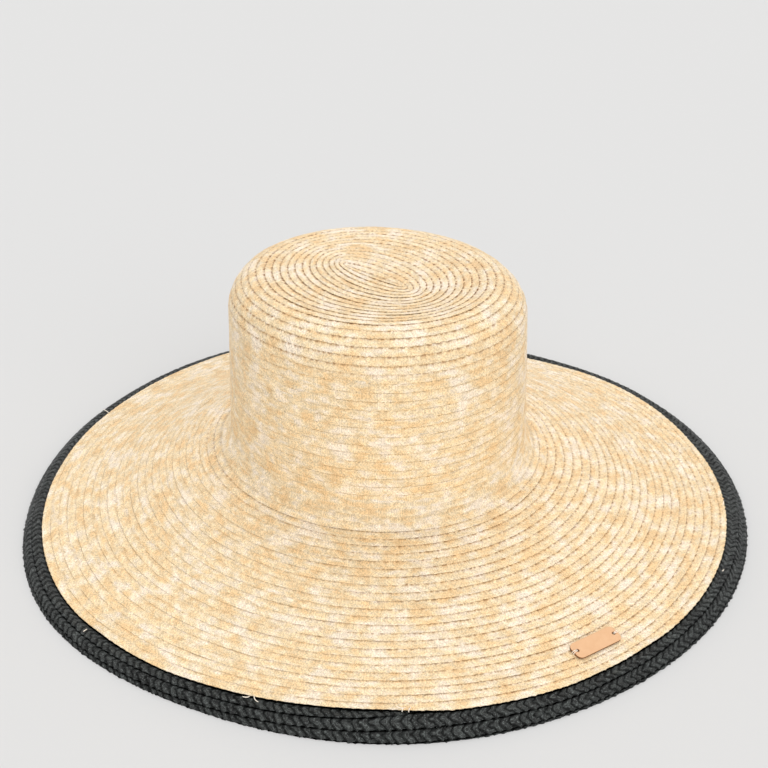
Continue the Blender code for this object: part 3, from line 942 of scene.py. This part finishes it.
class HAT_OT_stage(bpy.types.Operator):
    """Adds the floor, the lights and the camera"""

    bl_idname = "straw_hat.stage"
    bl_label = "Stage"

    def execute(self, context):
        scene = context.scene
        colours = scene.straw_hat_colours
        size = 8.0
        rim = [(-size, -size, 0), (size, -size, 0), (size, size, 0), (-size, size, 0)]
        mesh = bpy.data.meshes.new("floor")
        mesh.from_pydata(rim, [], [(0, 1, 2, 3)])
        mesh.materials.append(floor_material(colours))
        floor = bpy.data.objects.new("floor", mesh)
        scene.collection.objects.link(floor)

        world = bpy.data.worlds.new("soft studio")
        world.use_nodes = True
        fill(world.node_tree, world.node_tree.nodes["Background"], Color=(1.0, 1.0, 1.0), Strength=0.80)
        scene.world = world
        lights = (
            # name, azimuth and elevation in degrees, strength, softness in degrees, colour
            ("key", 48, 58, 0.80, 40, (1.0, 0.985, 0.96)),
            ("fill", -108, 22, 1.26, 70, (1.0, 0.99, 0.975)),
        )
        for name, azimuth, elevation, strength, softness, colour in lights:
            data = bpy.data.lights.new(name, "SUN")
            data.energy = strength
            data.angle = radians(softness)
            data.color = colour
            light = bpy.data.objects.new(name, data)
            light.rotation_euler = (pi / 2 - radians(elevation), 0, radians(azimuth) + pi / 2)
            scene.collection.objects.link(light)
        scene.view_settings.view_transform = "Standard"
        scene.view_settings.look = "None"

        # Fitted to the photo's outline, with the hat's shape
        distance = 0.7531
        elevation = radians(33.272)
        azimuth = radians(-123.785)
        data = bpy.data.cameras.new("camera")
        data.sensor_width = 36
        data.lens = 53.71
        data.shift_x = 0.0032
        data.shift_y = 0.1357
        data.clip_start = 0.05
        camera = bpy.data.objects.new("camera", data)
        heading = (cos(elevation) * cos(azimuth), cos(elevation) * sin(azimuth), sin(elevation))
        spot = distance * Vector(heading)
        camera.location = spot
        camera.rotation_euler = (-spot).to_track_quat("-Z", "Y").to_euler()
        scene.collection.objects.link(camera)
        scene.camera = camera
        return {"FINISHED"}


def straw_steps(sizes):
    """Turns and lengths of the straw plait's steps, and the step where the crown's last turn ends."""
    turns, along = even_steps(straw_outer, straw_azimuth, FIRST_TURN, STRAW_TURNS, sizes.step)
    crown_end = int(np.searchsorted(turns, turns_at(BRIM_START + CROWN_LAP)))
    return turns, along, crown_end


class HAT_OT_crown(bpy.types.Operator):
    """Adds the crown's turns of straw plait: the tip and its corner, then the side down to the brim"""

    bl_idname = "straw_hat.crown"
    bl_label = "Crown"

    def execute(self, context):
        sizes = context.scene.straw_hat_sizes
        straw = straw_material(context.scene.straw_hat_colours, sizes)
        turns, along, crown_end = straw_steps(sizes)
        middle = crown_end // 2
        make_straw_piece("crown_tip", 0, middle, turns, along, sizes, straw, "crown")
        make_straw_piece("crown_side", middle, crown_end, turns, along, sizes, straw, "crown")
        return {"FINISHED"}


class HAT_OT_brim(bpy.types.Operator):
    """Adds the brim's turns of straw plait, in three pieces from the crown to the edge"""

    bl_idname = "straw_hat.brim"
    bl_label = "Brim"

    def execute(self, context):
        sizes = context.scene.straw_hat_sizes
        straw = bpy.data.materials["bleached wheat straw plait"]
        turns, along, crown_end = straw_steps(sizes)
        ends = np.linspace(crown_end, len(turns) - 1, 4).astype(int)
        for name, first, last in zip(("brim_inner", "brim_middle", "brim_outer"), ends[:-1], ends[1:]):
            make_straw_piece(name, first, last, turns, along, sizes, straw, "brim")
        return {"FINISHED"}


class HAT_OT_edge(bpy.types.Operator):
    """Adds the turns of dark plait round the brim's edge"""

    bl_idname = "straw_hat.edge"
    bl_label = "Dark edge"

    def execute(self, context):
        sizes = context.scene.straw_hat_sizes
        turns, along = even_steps(dark_outer, dark_azimuth, 0.0, DARK_TURNS, sizes.dark_step)
        along = along + 0.0012 * even_noise(along / 0.014, 8.0)  # no two cells are equally long
        points, from_edge, from_seam = dark_sections(turns, along, sizes)
        seam_shade_strength = np.ones(len(along))
        mesh = band_mesh("dark_edge", points, along, from_edge, from_seam, seam_shade_strength, sizes.dark_width)
        rows = sorted(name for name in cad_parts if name.startswith("edge_"))
        dark = dark_material(context.scene.straw_hat_colours, sizes)
        add_piece("dark_edge", mesh, dark, "dark_straw", *rows)
        return {"FINISHED"}


class HAT_OT_tag(bpy.types.Operator):
    """Adds the leather tag and the thread that holds it"""

    bl_idname = "straw_hat.tag"
    bl_label = "Leather tag"

    def execute(self, context):
        colours = context.scene.straw_hat_colours
        add_piece("leather_tag", tag_mesh(), leather_material(colours), "leather", "label_tag")
        threads = tube_mesh("tag_thread", thread_paths(), THREAD_RADIUS, 8)
        # Milky and glossy, as nylon is
        nylon = fine_material("clear nylon thread", colours.thread, colours.pale, 900.0, 1.0, 0.25)
        add_piece("tag_thread", threads, nylon, "straw")
        return {"FINISHED"}


class HAT_OT_strands(bpy.types.Operator):
    """Adds the loose strands along the straw's edge"""

    bl_idname = "straw_hat.strands"
    bl_label = "Loose strands"

    def execute(self, context):
        colours = context.scene.straw_hat_colours
        mesh = tube_mesh("loose_strands", [strand_path(*row) for row in LOOSE_STRANDS], STRAND_RADIUS)
        # Paler than the plait, because the fibres are split thin
        fibre = fine_material("split wheat straw fibre", colours.pale, colours.thread, 500.0, 2.0, 0.5)
        add_piece("loose_strands", mesh, fibre, "straw")
        return {"FINISHED"}


class HAT_PT_panel(bpy.types.Panel):
    """Sizes, colours and pieces of the straw hat"""

    bl_idname = "HAT_PT_panel"
    bl_label = "Straw hat"
    bl_space_type = "VIEW_3D"
    bl_region_type = "UI"
    bl_category = "Straw hat"

    def draw(self, context):
        column = self.layout.column()
        for group in (context.scene.straw_hat_sizes, context.scene.straw_hat_colours):
            for name in group.__annotations__:
                column.prop(group, name)
        for operator in OPERATORS:
            column.operator(operator.bl_idname)


OPERATORS = (HAT_OT_stage, HAT_OT_crown, HAT_OT_brim, HAT_OT_edge, HAT_OT_tag, HAT_OT_strands)
CLASSES = (StrawHatSizes, StrawHatColours, *OPERATORS, HAT_PT_panel)


def register():
    for cls in CLASSES:
        bpy.utils.register_class(cls)
    bpy.types.Scene.straw_hat_sizes = PointerProperty(type=StrawHatSizes)
    bpy.types.Scene.straw_hat_colours = PointerProperty(type=StrawHatColours)


def unregister():
    del bpy.types.Scene.straw_hat_colours
    del bpy.types.Scene.straw_hat_sizes
    for cls in reversed(CLASSES):
        bpy.utils.unregister_class(cls)


def main():
    register()
    bpy.ops.straw_hat.stage()
    bpy.ops.straw_hat.crown()
    bpy.ops.straw_hat.brim()
    bpy.ops.straw_hat.edge()
    bpy.ops.straw_hat.tag()
    bpy.ops.straw_hat.strands()


if __name__ == "__main__":
    main()
